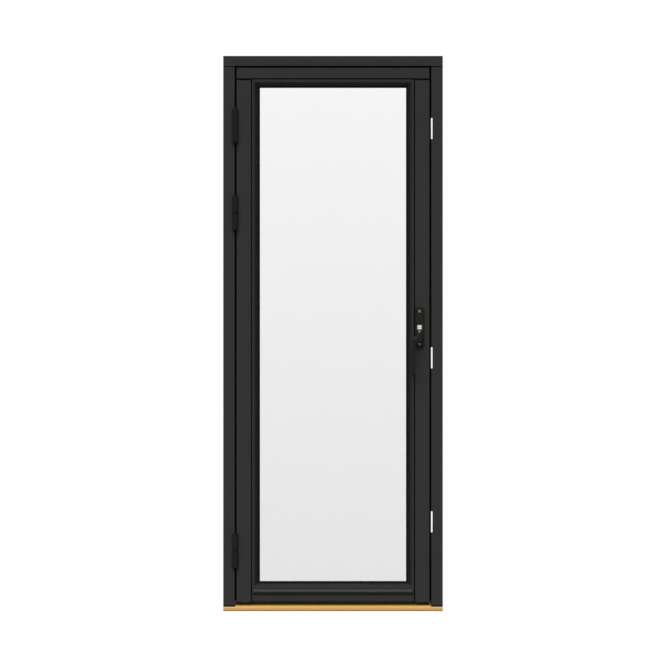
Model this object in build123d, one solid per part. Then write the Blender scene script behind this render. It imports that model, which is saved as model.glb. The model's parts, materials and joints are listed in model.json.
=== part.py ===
from build123d import *

import os
from math import radians, tan

# A glazed balcony door: a painted timber frame on an oak threshold, and one glazed timber leaf.
# Millimetres, +Z up. The room side, with the hinge barrels and the handle, faces -Y, and +X is to the
# right as seen from there. The origin is the middle of the threshold's underside, halfway through the
# depth of the frame. The leaf hangs on the left and opens towards -Y.

# Frame: head over two jambs, which stand on the threshold
frame_width = 785.0
frame_height = 1985.0
frame_depth = 115.0
jamb_face = 42.0
head_face = 36.5
rebate_depth = 46.0
stop_height = 14.0
frame_arris = 1.5
stop_edge = 3.0
foot_line_height = 20.0
foot_line_width = 2.0
foot_line_depth = 6.0

# Threshold: oak, with a sloping nose on the room side and an upstand that the leaf closes against
nose_reach = 10.0
nose_height = 10.3
nose_top_round = 1.5
nose_foot_round = 3.0
step_height = 26.3
step_slope_run = 32.5
upstand_land = 12.0
upstand_round = 2.0
threshold_back_height = 31.0
weather_rail_thickness = 2.0
weather_rail_overhang = 9.0
weather_rail_skirt = 10.0

# Leaf: stiles and rails with a lip that fills the frame's rebate
leaf_thickness = 68.0
leaf_gap = 5.1
bottom_gap = 5.2
seal_gap = 5.0
stop_clearance = 7.5
stile_face = 55.6
top_rail_face = 38.6
top_rail_land = 2.4
bottom_rail_face = 47.3
bottom_rail_lift = 1.5
bottom_rail_bevel = 3.5
lock_edge_bevel = 3.0
leaf_arris = 2.0
leaf_back_chamfer = 2.5
shadow_joint_width = 3.3
shadow_joint_depth = 11.0
stile_top_joint_width = 6.6

# Glazing: beads on the room side, a fixed lip on the weather side, three panes between them
bead_width = 20.3
bead_depth = 17.5
bead_flat = 7.3
bead_swell = 1.0
bead_set_back = 0.6
bead_edge_thickness = 1.2
bead_arris = 1.0
gasket_show = 8.5
gasket_width = 17.5
gasket_thickness = 3.0
glazing_lip_width = 28.8
glazing_lip_chamfer = 7.0
glazing_shelf = 7.7
pane_thickness = 4.0
pane_spacing = 9.0
pane_edge_clearance = 4.0
spacer_width = 12.0

# Bottom rail: a sunk band with a drip moulding across it, and a weather bar on the other side
sunk_band_foot = 21.0
sunk_band_depth = 3.0
moulding_slope = 10.0
moulding_reach = 7.5
moulding_nose = 1.5
moulding_fall = 9.7
moulding_end_gap = 1.0
drip_groove_radius = 1.6
drip_groove_from_nose = 4.5
weather_bar_height = 42.0
weather_bar_reach = 22.0
weather_bar_nose = 14.0
weather_bar_nose_round = 4.0
weather_bar_end_gap = 22.0

# Seal in the frame's rebate
seal_width = 7.0
seal_squeeze = 0.4
seal_stem_width = 3.0
seal_stem_depth = 5.0
seal_round = 2.0

# Hinges: barrels that stand in front of the gap, with plates let into the two rebate faces
upper_hinge_drop = 248.8
middle_hinge_drop = 560.5
lower_hinge_height = 216.4
hinge_length = 125.0
hinge_barrel_radius = 10.5
hinge_axis_from_rebate = 0.2
hinge_face_clearance = 0.5
hinge_pin_radius = 4.5
hinge_pin_clearance = 0.05
hinge_pin_reach = 42.0
hinge_plate_thickness = 2.5
hinge_plate_depth = 32.0
hinge_split_gap = 4.6
upper_hinge_split_gap = 1.2
upper_hinge_collar = 6.0
hinge_washer_clearance = 0.3
hinge_washer_radius = 7.0
hinge_end_bevel = 2.5

# Lock: a long faceplate in the edge of the leaf, three bolts, three strike plates in the jamb
upper_lock_drop = 259.5
middle_lock_height = 905.6
lower_lock_height = 319.3
faceplate_width = 20.0
faceplate_thickness = 2.5
faceplate_from_face = 10.5
faceplate_end_margin = 90.0
bolt_height = 40.0
bolt_thickness = 8.0
bolt_depth = 14.0
bolt_proud = 0.6
bolt_clearance = 0.3
strike_length = 75.0
strike_thickness = 2.0
strike_proud = 0.8
strike_front_width = 5.2
strike_rebate_width = 34.0
strike_slot_margin = 2.0
strike_pocket_depth = 14.0

# Handle: a long backplate with a child lock button, and a cranked lever that hangs down
handle_backset = 36.0
handle_height = 977.0
screw_spacing = 43.0
top_screw_rise = 94.3
button_rise = 37.0
backplate_width = 32.5
backplate_thickness = 10.0
backplate_top = 109.5
backplate_bottom = 34.0
backplate_corner = 8.0
backplate_edge = 2.0
screw_head_radius = 4.8
screw_head_depth = 3.0
screw_shank_radius = 2.0
screw_length = 32.0
button_size = 18.0
button_proud = 4.5
button_clearance = 0.35
button_flange = 2.0
button_flange_thickness = 3.0
button_travel = 3.0
button_pocket_spare = 4.0
button_edge = 3.0
button_dimple_radius = 2.2
button_dimple_depth = 2.5
hub_radius = 12.0
hub_clearance = 0.3
hub_height = 24.0
hub_edge = 2.5
spindle_size = 8.0
spindle_reach = 34.0
spindle_clearance = 1.2
lever_offset = 23.2
lever_drop = 26.0
lever_length = 134.0
lever_stand_off = 46.0
lever_width = 14.0
lever_thickness = 11.0
lever_section_bevel = 3.5
lever_neck_bend = 18.0
lever_elbow_bend = 20.0
lever_end_edge = 2.5

# Holes for the frame screws, through each jamb into the wall
frame_screw_heights = (110.0, 600.0)
frame_screw_drops = (805.0, 105.0)
frame_screw_radius = 7.0
frame_screw_from_face = 22.0

# Places that follow from the sizes
front = -frame_depth / 2
back = frame_depth / 2
outer_x = frame_width / 2
rebate_x = outer_x - jamb_face
stop_x = rebate_x - stop_height
stop_y = front + rebate_depth
head_z = frame_height - head_face
stop_z = head_z - stop_height
leaf_x = rebate_x - leaf_gap
leaf_top = head_z - leaf_gap
leaf_bottom = step_height + bottom_gap
leaf_back = front + leaf_thickness
lip_back = stop_y - seal_gap
lip_overlap = stop_height - leaf_gap
upstand_z = leaf_bottom + lip_overlap
upstand_back = stop_y + upstand_land
rear_x = stop_x - stop_clearance
rear_top = stop_z - stop_clearance
rear_bottom = upstand_z + stop_clearance
rail_bottom = leaf_bottom + bottom_rail_lift
bead_x = leaf_x - stile_face
top_joint = leaf_top - top_rail_face
rail_joint = top_joint - shadow_joint_width
bead_top = rail_joint - top_rail_land
bead_bottom = leaf_bottom + bottom_rail_face
bead_back = front + bead_depth
unit_thickness = 3 * pane_thickness + 2 * pane_spacing
unit_front = bead_back + gasket_thickness
unit_back = unit_front + unit_thickness
lip_front = unit_back + gasket_thickness
hinge_x = -rebate_x + hinge_axis_from_rebate
hinge_y = front - hinge_face_clearance - hinge_barrel_radius
handle_x = leaf_x - handle_backset
plate_front = front - backplate_thickness
bolt_from_face = faceplate_from_face + faceplate_width / 2
hinge_heights = {
    "upper": frame_height - upper_hinge_drop,
    "middle": frame_height - middle_hinge_drop,
    "lower": lower_hinge_height,
}
hinge_splits = {"upper": upper_hinge_collar - hinge_length / 2, "middle": 0.0, "lower": 0.0}
hinge_gaps = {"upper": upper_hinge_split_gap, "middle": hinge_split_gap, "lower": hinge_split_gap}
lock_heights = {
    "upper": frame_height - upper_lock_drop,
    "middle": middle_lock_height,
    "lower": lower_lock_height,
}


def block(x, y, z):
    """A box between the low and high values of each axis."""
    sizes = [high - low for low, high in (x, y, z)]
    middle = [(high + low) / 2 for low, high in (x, y, z)]
    return Pos(*middle) * Box(*sizes)


def outline(corners):
    """A closed outline through (x, y, radius) corners, rounded where the radius isn't zero."""
    face = make_face(Polyline(*[(x, y) for x, y, _ in corners], close=True))
    for x, y, radius in corners:
        if radius:
            face = fillet(face.vertices().sort_by_distance((x, y, 0))[0], radius)
    return face


def along_x(face, low, high):
    """A section drawn as (Y, Z), drawn out along X."""
    return extrude(Plane.YZ.offset(low) * face, amount=high - low, dir=(1, 0, 0))


def along_y(face, low, high):
    """An outline drawn as (X, Z), drawn out along Y."""
    return extrude(Plane.XZ.offset(-low) * face, amount=high - low, dir=(0, 1, 0))


def along_z(face, low, high):
    """A section drawn as (X, Y), drawn out along Z."""
    return extrude(Plane.XY.offset(low) * face, amount=high - low, dir=(0, 0, 1))


def other_side(shape):
    """The same shape at the other jamb."""
    return mirror(shape, about=Plane.YZ)


def glazed(inset, y_low, y_high):
    """A block as large as the beads' outer edge less an inset, between two depths."""
    return block(
        (inset - bead_x, bead_x - inset),
        (y_low, y_high),
        (bead_bottom + inset, bead_top - inset),
    )


def glazed_ring(inset, width, y_low, y_high):
    """A ring whose outer edge lies an inset inside the beads' outer edge."""
    return glazed(inset, y_low, y_high) - glazed(inset + width, y_low - 1, y_high + 1)


def shadow_joint(x, z):
    """A groove in the room face, which leaves a dark line where two members meet."""
    return block(x, (front, front + shadow_joint_depth), z)


# Threshold

def threshold_body():
    """Room side first: nose, slope, step, upstand, and a fall to the weather side."""
    nose = front - nose_reach
    section = outline(
        [
            (nose, 0, nose_foot_round),
            (nose, nose_height, nose_top_round),
            (nose + step_slope_run, step_height, 0),
            (stop_y, step_height, 0),
            (stop_y, upstand_z, upstand_round),
            (upstand_back, upstand_z, 0),
            (back, threshold_back_height, 0),
            (back, 0, 0),
        ]
    )
    return along_x(section, -outer_x, outer_x)


def weather_rail():
    """A folded aluminium rail on the threshold's fall, between the jambs, with a drip skirt."""
    start = stop_y + upstand_round
    fall = (upstand_z - threshold_back_height) / (back - upstand_back)
    lip = back + weather_rail_overhang
    lip_z = upstand_z - fall * (lip - upstand_back)
    section = make_face(
        Polyline(
            (start, upstand_z + weather_rail_thickness),
            (upstand_back, upstand_z + weather_rail_thickness),
            (lip, lip_z + weather_rail_thickness),
            (lip, lip_z - weather_rail_skirt),
            (lip - weather_rail_thickness, lip_z - weather_rail_skirt),
            (lip - weather_rail_thickness, lip_z + fall * weather_rail_thickness),
            (upstand_back, upstand_z),
            (start, upstand_z),
            close=True,
        )
    )
    return along_x(section, -stop_x, stop_x)


# Seal in the rebate, all the way round

def seal_ring(width, y_low, y_high):
    """A ring of the given width on the middle of the leaf's overlap."""
    inside = lip_overlap / 2 - width / 2
    outside = inside + width
    body = block(
        (-stop_x - outside, stop_x + outside),
        (y_low, y_high),
        (upstand_z - outside, stop_z + outside),
    )
    hole = block(
        (-stop_x - inside, stop_x + inside),
        (y_low, y_high),
        (upstand_z - inside, stop_z + inside),
    )
    return body - hole


def seal_bulb():
    bulb = seal_ring(seal_width, stop_y - seal_gap + seal_squeeze, stop_y)
    return fillet(bulb.faces().sort_by(Axis.Y)[0].edges(), seal_round)


def seal_stem():
    return seal_ring(seal_stem_width, stop_y, stop_y + seal_stem_depth)


# Frame timber

def head_body():
    section = outline(
        [
            (front, frame_height, frame_arris),
            (front, head_z, 0),
            (stop_y, head_z, 0),
            (stop_y, stop_z, 0),
            (back - stop_edge, stop_z, 0),
            (back, stop_z + stop_edge, 0),
            (back, frame_height, 0),
        ]
    )
    return along_x(section, -outer_x, outer_x)


def jamb_body():
    """The right-hand jamb, before its joints to the head and the threshold."""
    section = outline(
        [
            (outer_x, front, frame_arris),
            (rebate_x, front, frame_arris),
            (rebate_x, stop_y, 0),
            (stop_x, stop_y, 0),
            (stop_x, back - stop_edge, 0),
            (stop_x + stop_edge, back, 0),
            (outer_x, back, 0),
        ]
    )
    body = along_z(section, 0, head_z)
    heights = [*frame_screw_heights, *(frame_height - drop for drop in frame_screw_drops)]
    for height in heights:
        hole = Pos(outer_x - jamb_face / 2, front + frame_screw_from_face, height) * Rot(Y=90)
        body -= hole * Cylinder(frame_screw_radius, jamb_face + 2)
    foot_line = (foot_line_height - foot_line_width / 2, foot_line_height + foot_line_width / 2)
    body -= block((rebate_x, outer_x), (front, front + foot_line_depth), foot_line)
    return body - shadow_joint((rebate_x, outer_x), (head_z - shadow_joint_width, head_z))


# Hinges

def hinge_plate(x_from, x_to, length=hinge_length):
    """A plate that lies in a rebate face, level with the room face, centred on Z = 0."""
    return block((x_from, x_to), (front, front + hinge_plate_depth), (-length / 2, length / 2))


def hinge_barrel(low, high, open_end):
    """One knuckle on the hinge axis, bevelled at its open end."""
    body = Pos(hinge_x, hinge_y, (low + high) / 2) * Cylinder(hinge_barrel_radius, high - low)
    return chamfer(body.faces().sort_by(Axis.Z)[open_end].edges(), hinge_end_bevel)


def hinge_neck(x_from, x_to, low, high):
    """The tongue that joins a plate to its barrel through the gap beside the leaf."""
    return block((x_from, x_to), (hinge_y + hinge_barrel_radius / 2, front), (low, high))


def hinge_frame_half(place):
    """Plate in the jamb, lower barrel, and the pin that the leaf's barrel drops over."""
    low = -hinge_length / 2
    high = hinge_splits[place] - hinge_gaps[place] / 2
    pin_top = hinge_splits[place] + hinge_pin_reach
    x_from = -rebate_x - hinge_plate_thickness
    body = hinge_barrel(low, high, 0)
    body += hinge_neck(x_from, -rebate_x, low + hinge_end_bevel, high)
    body += hinge_plate(x_from, -rebate_x)
    body += Pos(hinge_x, hinge_y, (high + pin_top) / 2) * Cylinder(hinge_pin_radius, pin_top - high)
    return Pos(0, 0, hinge_heights[place]) * body


def hinge_leaf_half(place):
    """Plate in the edge of the leaf, and the upper barrel, bored for the pin."""
    low = hinge_splits[place] + hinge_gaps[place] / 2
    high = hinge_length / 2
    bore_top = hinge_splits[place] + hinge_pin_reach + 1
    x_to = -leaf_x + hinge_plate_thickness
    body = hinge_barrel(low, high, -1)
    body += hinge_neck(-leaf_x, x_to, low, high - hinge_end_bevel)
    body += hinge_plate(-leaf_x, x_to)
    bore = Pos(hinge_x, hinge_y, (low + bore_top) / 2)
    body -= bore * Cylinder(hinge_pin_radius + hinge_pin_clearance, bore_top - low)
    return Pos(0, 0, hinge_heights[place]) * body


def hinge_washer(place):
    """Bearing washer round the pin, on top of the lower barrel."""
    thickness = hinge_gaps[place] - hinge_washer_clearance
    low = hinge_heights[place] + hinge_splits[place] - hinge_gaps[place] / 2
    washer = Cylinder(hinge_washer_radius, thickness) - Cylinder(hinge_pin_radius, thickness)
    return Pos(hinge_x, hinge_y, low + thickness / 2) * washer


# Strike plates

def strike_outline(height):
    """The angle's two flanges as one solid, without its slot."""
    length = (height - strike_length / 2, height + strike_length / 2)
    face = front - strike_proud
    on_front = block((rebate_x, rebate_x + strike_front_width), (face, face + strike_thickness), length)
    in_rebate = block((rebate_x, rebate_x + strike_thickness), (face, front + strike_rebate_width), length)
    return on_front + in_rebate


def strike_slot(height, depth):
    half_height = bolt_height / 2 + strike_slot_margin
    half_width = bolt_thickness / 2 + strike_slot_margin
    middle = front + bolt_from_face
    return block(
        (rebate_x, rebate_x + depth),
        (middle - half_width, middle + half_width),
        (height - half_height, height + half_height),
    )


def strike_plate(height):
    return strike_outline(height) - strike_slot(height, strike_thickness)


# Leaf timber

def leaf_ring():
    """All four members of the leaf as one ring: outer lip, rear part, and the rebate for the glass."""
    bevel = (lip_back - front) * tan(radians(lock_edge_bevel))
    lip_section = Polyline(
        (-leaf_x, front),
        (leaf_x, front),
        (leaf_x - bevel, lip_back),
        (-leaf_x, lip_back),
        close=True,
    )
    lip = along_z(make_face(lip_section), leaf_bottom, leaf_top)
    lip = fillet(lip.faces().sort_by(Axis.Y)[0].edges(), leaf_arris)
    rear = block((-rear_x, rear_x), (lip_back, leaf_back), (rear_bottom, rear_top))
    rear = chamfer(rear.faces().sort_by(Axis.Y)[-1].edges(), leaf_back_chamfer)
    for_beads = glazed(0, front, bead_back)
    for_glass = glazed(glazing_shelf, bead_back, lip_front)
    daylight = glazed(glazing_lip_width, lip_front, leaf_back)
    return lip + rear - for_beads - for_glass - daylight - weather_bevel()


def weather_bevel():
    """The bevel round the opening on the weather side, wide at the back face."""
    width = 2 * (bead_x - glazing_lip_width)
    height = bead_top - bead_bottom - 2 * glazing_lip_width
    middle = Pos(0, (bead_top + bead_bottom) / 2)
    outer = Rectangle(width + 2 * glazing_lip_chamfer, height + 2 * glazing_lip_chamfer)
    return loft(
        [
            Plane.XZ.offset(-leaf_back) * middle * outer,
            Plane.XZ.offset(glazing_lip_chamfer - leaf_back) * middle * Rectangle(width, height),
        ]
    )


def leaf_shadow_joints():
    """Grooves across the top rail and down both stiles, and wider ones over the stiles."""
    joint_x = bead_x + shadow_joint_width
    cuts = shadow_joint((-joint_x, joint_x), (rail_joint, top_joint))
    cuts += shadow_joint((bead_x, joint_x), (leaf_bottom, top_joint))
    cuts += shadow_joint((-joint_x, -bead_x), (leaf_bottom, top_joint))
    over_stile = (top_joint - stile_top_joint_width, top_joint)
    return cuts + shadow_joint((joint_x, leaf_x), over_stile) + shadow_joint((-leaf_x, -joint_x), over_stile)


def sunk_band():
    """The recess across the bottom rail, with a sloping foot."""
    foot = rail_bottom + sunk_band_foot
    section = Polyline(
        (front, foot - sunk_band_depth),
        (front + sunk_band_depth, foot),
        (front + sunk_band_depth, bead_bottom),
        (front, bead_bottom),
        close=True,
    )
    return along_x(make_face(section), -bead_x, bead_x)


def rail_underside():
    """What is cut away below the bottom rail: it sits a little higher than the stiles, with a bevel."""
    section = Polyline(
        (front, leaf_bottom),
        (front, rail_bottom + bottom_rail_bevel),
        (front + bottom_rail_bevel, rail_bottom),
        (lip_back, rail_bottom),
        (lip_back, leaf_bottom),
        close=True,
    )
    return along_x(make_face(section), -bead_x, bead_x)


def drip_moulding():
    """Sloping top, narrow nose and undercut with a drip groove; its ends are bevelled back."""
    base = front + sunk_band_depth
    nose = front - moulding_reach
    nose_top = bead_bottom - moulding_slope
    nose_foot = nose_top - moulding_nose
    section = Polyline(
        (base, bead_bottom),
        (front, bead_bottom),
        (nose, nose_top),
        (nose, nose_foot),
        (base, nose_foot - moulding_fall),
        close=True,
    )
    half = bead_x - moulding_end_gap
    plan = Polyline(
        (-half, base),
        (half, base),
        (half, front),
        (half - moulding_reach, nose),
        (moulding_reach - half, nose),
        (-half, front),
        close=True,
    )
    groove_y = nose + drip_groove_from_nose
    groove_z = nose_foot - moulding_fall * drip_groove_from_nose / (base - nose)
    groove = Pos(0, groove_y, groove_z) * Rot(Y=90) * Cylinder(drip_groove_radius, 2 * half)
    body = along_x(make_face(section), -half, half) & along_z(make_face(plan), 0, bead_top)
    return body - groove


def weather_bar():
    """Sloping bar on the weather side of the bottom rail, with a drip groove under its nose."""
    low = rear_bottom + leaf_back_chamfer
    nose = leaf_back + weather_bar_reach
    section = outline(
        [
            (leaf_back, low, 0),
            (nose, low, 0),
            (nose, low + weather_bar_nose, weather_bar_nose_round),
            (leaf_back, low + weather_bar_height, 0),
        ]
    )
    half = rear_x - weather_bar_end_gap
    groove = Pos(0, nose - drip_groove_from_nose, low) * Rot(Y=90)
    return along_x(section, -half, half) - groove * Cylinder(drip_groove_radius, 2 * half)


# Glazing

def bead_section():
    """Drawn from the outer edge inwards: arris, flat, a slightly swelling slope, and the back."""
    slope_foot = bead_depth - bead_edge_thickness
    slope_middle = Vector(bead_width + bead_flat, slope_foot + bead_set_back) / 2
    swell = Vector(slope_foot - bead_set_back, bead_flat - bead_width).normalized() * bead_swell
    return make_face(
        Polyline(
            (bead_width, slope_foot),
            (bead_width, bead_depth),
            (0, bead_depth),
            (0, bead_set_back + bead_arris),
            (bead_arris, bead_set_back),
            (bead_flat, bead_set_back),
        )
        + ThreePointArc((bead_flat, bead_set_back), slope_middle + swell, (bead_width, slope_foot))
    )


def bead(inwards, start, length, corners):
    """One bead, mitred at both ends. Its section runs inwards from the start corner."""
    run = Vector(*inwards).cross(Vector(0, 1, 0))
    body = extrude(Plane(origin=start, x_dir=inwards, z_dir=run) * bead_section(), amount=length, dir=run)
    return body & along_y(make_face(Polyline(*corners, close=True)), front, bead_back)


def beads():
    """The four glazing beads by name."""
    height = bead_top - bead_bottom
    in_x = bead_x - bead_width
    low_left, low_right = (-bead_x, bead_bottom), (bead_x, bead_bottom)
    top_left, top_right = (-bead_x, bead_top), (bead_x, bead_top)
    in_low_left, in_low_right = (-in_x, bead_bottom + bead_width), (in_x, bead_bottom + bead_width)
    in_top_left, in_top_right = (-in_x, bead_top - bead_width), (in_x, bead_top - bead_width)
    left_corners = [low_left, in_low_left, in_top_left, top_left]
    right_corners = [low_right, in_low_right, in_top_right, top_right]
    top_corners = [top_left, in_top_left, in_top_right, top_right]
    bottom_corners = [low_left, in_low_left, in_low_right, low_right]
    return {
        "bead_hinge_side": bead((1, 0, 0), (-bead_x, front, bead_bottom), height, left_corners),
        "bead_lock_side": bead((-1, 0, 0), (bead_x, front, bead_top), height, right_corners),
        "bead_top": bead((0, 0, -1), (-bead_x, front, bead_top), 2 * bead_x, top_corners),
        "bead_bottom": bead((0, 0, 1), (bead_x, front, bead_bottom), 2 * bead_x, bottom_corners),
    }


def glazing_gasket(y_low):
    """A strip all round, on one side of the glass, that shows inside the beads."""
    inset = bead_width + gasket_show - gasket_width
    return glazed_ring(inset, gasket_width, y_low, y_low + gasket_thickness)


def pane(number):
    """Pane 0 is on the room side."""
    y = unit_front + number * (pane_thickness + pane_spacing)
    return glazed(glazing_shelf + pane_edge_clearance, y, y + pane_thickness)


def spacer(number):
    y = unit_front + pane_thickness + number * (pane_thickness + pane_spacing)
    return glazed_ring(glazing_shelf + pane_edge_clearance, spacer_width, y, y + pane_spacing)


# Lock

def on_lock_edge(shape):
    """Places a shape drawn with X out of the edge and Y back from the room face."""
    return Pos(leaf_x, front, 0) * Rot(Z=lock_edge_bevel) * shape


def bolt(height, spare=0.0):
    half_height = bolt_height / 2 + spare
    half_thickness = bolt_thickness / 2 + spare
    return on_lock_edge(
        block(
            (-bolt_depth, bolt_proud + spare),
            (bolt_from_face - half_thickness, bolt_from_face + half_thickness),
            (height - half_height, height + half_height),
        )
    )


def faceplate_blank():
    return on_lock_edge(
        block(
            (-faceplate_thickness, 0),
            (faceplate_from_face, faceplate_from_face + faceplate_width),
            (leaf_bottom + faceplate_end_margin, leaf_top - faceplate_end_margin),
        )
    )


def faceplate():
    body = faceplate_blank()
    for height in lock_heights.values():
        body -= bolt(height, bolt_clearance)
    return body


# Handle

def from_face(height):
    """A place on the handle's centre line at the room face, with Z pointing at the room."""
    return Pos(handle_x, front, height) * Rot(X=90)


def square_bar(size, low, high):
    return block((-size / 2, size / 2), (-size / 2, size / 2), (low, high))


def backplate():
    low, high = handle_height - backplate_bottom, handle_height + backplate_top
    middle = (low + high) / 2
    face = Pos(handle_x, middle) * RectangleRounded(backplate_width, high - low, backplate_corner)
    body = along_y(face, plate_front, front)
    body = chamfer(body.faces().sort_by(Axis.Y)[0].edges(), backplate_edge)
    body -= from_face(handle_height) * Cylinder(hub_radius + hub_clearance, 2 * backplate_thickness)
    opening = square_bar(button_size + 2 * button_clearance, 0, backplate_thickness)
    return body - from_face(handle_height + button_rise) * opening - handle_screws()


def screw(height):
    """Cheese-head screw, its head let into the backplate."""
    head_middle = backplate_thickness - screw_head_depth / 2
    head = Pos(0, 0, head_middle) * Cylinder(screw_head_radius, screw_head_depth)
    shank_middle = backplate_thickness - screw_head_depth - screw_length / 2
    shank = Pos(0, 0, shank_middle) * Cylinder(screw_shank_radius, screw_length)
    return from_face(height) * (head + shank)


def handle_screws():
    rises = (-screw_spacing / 2, screw_spacing / 2, top_screw_rise)
    first, *others = [screw(handle_height + rise) for rise in rises]
    return first + others


def child_lock_button():
    """Square push button with a bevelled edge, held behind the backplate by its flange."""
    rear = -button_clearance
    top = backplate_thickness + button_proud
    head = square_bar(button_size, rear, top)
    head = chamfer(head.faces().sort_by(Axis.Z)[-1].edges(), button_edge)
    dimple = Pos(0, 0, top - button_dimple_depth / 2)
    head -= dimple * Cylinder(button_dimple_radius, button_dimple_depth)
    flange = square_bar(button_size + 2 * button_flange, rear - button_flange_thickness, rear)
    return from_face(handle_height + button_rise) * (head + flange)


def button_pocket():
    """Room in the stile for the button's flange to travel."""
    depth = button_clearance + button_flange_thickness + button_travel + button_pocket_spare
    size = button_size + 2 * (button_flange + button_clearance)
    return from_face(handle_height + button_rise) * square_bar(size, -depth, 0)


def spindle_bar():
    return from_face(handle_height) * square_bar(spindle_size, -spindle_reach, 0)


def spindle_hole():
    radius = spindle_size / 2**0.5 + spindle_clearance
    depth = spindle_reach + spindle_clearance
    return from_face(handle_height) * Pos(0, 0, -depth / 2) * Cylinder(radius, depth)


def lever():
    """Hub, cranked neck and hanging grip, swept along one bent path."""
    stand_y = front - lever_stand_off
    grip_x = handle_x - lever_offset
    path = FilletPolyline(
        (handle_x, front - hub_height / 2, handle_height),
        (handle_x, stand_y, handle_height),
        (grip_x, stand_y, handle_height - lever_drop),
        (grip_x, stand_y, handle_height - lever_length),
        radius=[lever_neck_bend, lever_elbow_bend],
    )
    start = Plane(origin=path @ 0, x_dir=(lever_drop, 0, -lever_offset), z_dir=path % 0)
    section = Rectangle(lever_width, lever_thickness)
    section = chamfer(section.vertices(), lever_section_bevel)
    bar = sweep(start * section, path=path)
    bar = chamfer(bar.faces().sort_by(Axis.Z)[0].edges(), lever_end_edge)
    hub = Pos(0, 0, hub_height / 2) * Cylinder(hub_radius, hub_height)
    hub = chamfer(hub.faces().sort_by(Axis.Z)[-1].edges(), hub_edge)
    return bar + from_face(handle_height) * hub


# Assembly

def frame_pieces():
    head, sill, stem = head_body(), threshold_body(), seal_stem()
    first_washer, *other_washers = [hinge_washer(place) for place in hinge_heights]
    lock_jamb = jamb_body() - head - sill - stem
    hinge_jamb = other_side(lock_jamb)
    pieces = {
        "threshold": sill - stem,
        "threshold_weather_rail": weather_rail(),
        "frame_head": head - stem,
        "frame_seal": seal_bulb() + stem,
        "hinge_washers": first_washer + other_washers,
    }
    for place, height in lock_heights.items():
        lock_jamb -= strike_outline(height)
        lock_jamb -= strike_slot(height, strike_pocket_depth)
        pieces[f"strike_plate_{place}"] = strike_plate(height)
    for place, height in hinge_heights.items():
        hinge_jamb -= Pos(0, 0, height) * hinge_plate(-rebate_x - hinge_plate_thickness, -rebate_x)
        pieces[f"hinge_frame_half_{place}"] = hinge_frame_half(place)
    pieces["frame_hinge_jamb"] = hinge_jamb
    pieces["frame_lock_jamb"] = lock_jamb
    return pieces


def leaf_timber():
    """The four members: the top rail runs over the stiles, and the stiles run past the bottom rail."""
    timber = leaf_ring() - leaf_shadow_joints()
    wide = frame_width
    deep = (front, leaf_back)
    above = block((-wide, wide), deep, (top_joint, leaf_top))
    above += block((-bead_x, bead_x), deep, (bead_top - glazing_lip_width, top_joint))
    below = block((-bead_x, bead_x), deep, (leaf_bottom, bead_bottom + glazing_lip_width))
    sides = timber - above - below
    hinge_side = block((-wide, 0), deep, (0, frame_height))
    return {
        "leaf_top_rail": timber & above,
        "leaf_bottom_rail": (timber & below) - sunk_band() - rail_underside(),
        "leaf_hinge_stile": sides & hinge_side,
        "leaf_lock_stile": sides - hinge_side,
    }


def leaf_pieces():
    first_bolt, *other_bolts = [bolt(height) for height in lock_heights.values()]
    pieces = {
        **leaf_timber(),
        **beads(),
        "drip_moulding": drip_moulding(),
        "weather_bar": weather_bar(),
        "glazing_gasket_front": glazing_gasket(bead_back),
        "glazing_gasket_back": glazing_gasket(unit_back),
        "glass_pane_front": pane(0),
        "glass_pane_middle": pane(1),
        "glass_pane_back": pane(2),
        "glass_spacer_front": spacer(0),
        "glass_spacer_back": spacer(1),
        "lock_faceplate": faceplate(),
        "lock_bolts": first_bolt + other_bolts,
        "handle_backplate": backplate(),
        "handle_screws": handle_screws(),
    }
    for place, height in hinge_heights.items():
        cut = Pos(0, 0, height) * hinge_plate(-leaf_x, -leaf_x + hinge_plate_thickness)
        pieces["leaf_hinge_stile"] -= cut
        pieces[f"hinge_leaf_half_{place}"] = hinge_leaf_half(place)
    for height in lock_heights.values():
        pieces["leaf_lock_stile"] -= bolt(height)
    for cut in (faceplate_blank(), handle_screws(), spindle_hole(), button_pocket()):
        pieces["leaf_lock_stile"] -= cut
    return pieces


def handle_pieces():
    return {
        "handle_lever": lever(),
        "handle_spindle": spindle_bar(),
        "child_lock_button": child_lock_button(),
    }


os.makedirs("parts", exist_ok=True)
for name, shape in {**frame_pieces(), **leaf_pieces(), **handle_pieces()}.items():
    export_step(shape, f"parts/{name}.step")
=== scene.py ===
import json
import math

import bmesh
import bpy
from mathutils import Matrix, Vector


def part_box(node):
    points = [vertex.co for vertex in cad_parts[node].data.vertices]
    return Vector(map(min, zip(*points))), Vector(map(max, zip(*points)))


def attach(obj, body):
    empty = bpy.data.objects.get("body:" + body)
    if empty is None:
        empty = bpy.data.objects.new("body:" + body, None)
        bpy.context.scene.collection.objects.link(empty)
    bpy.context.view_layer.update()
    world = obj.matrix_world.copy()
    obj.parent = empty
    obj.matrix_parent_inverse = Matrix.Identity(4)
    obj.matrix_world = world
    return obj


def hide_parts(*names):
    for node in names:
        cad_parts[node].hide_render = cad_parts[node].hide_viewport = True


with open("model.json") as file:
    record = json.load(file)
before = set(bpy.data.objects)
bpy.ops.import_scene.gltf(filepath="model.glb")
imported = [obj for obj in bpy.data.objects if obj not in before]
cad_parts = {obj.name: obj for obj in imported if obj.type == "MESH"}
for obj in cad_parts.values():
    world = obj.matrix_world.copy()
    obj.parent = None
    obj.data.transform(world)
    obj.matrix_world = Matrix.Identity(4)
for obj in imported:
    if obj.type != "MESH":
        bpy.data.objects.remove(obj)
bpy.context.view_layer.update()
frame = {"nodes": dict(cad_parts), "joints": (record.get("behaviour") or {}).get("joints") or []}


# Threshold: one solid oak board under the whole frame, planed with a sloping nose on the room side and
# an upstand for the leaf to close against. It is oiled, not painted, so rings and pores show along it. The
# front of its nose and its foot are painted darker as painted shade, and the leaf's shadow is painted on the
# slope.

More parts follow.
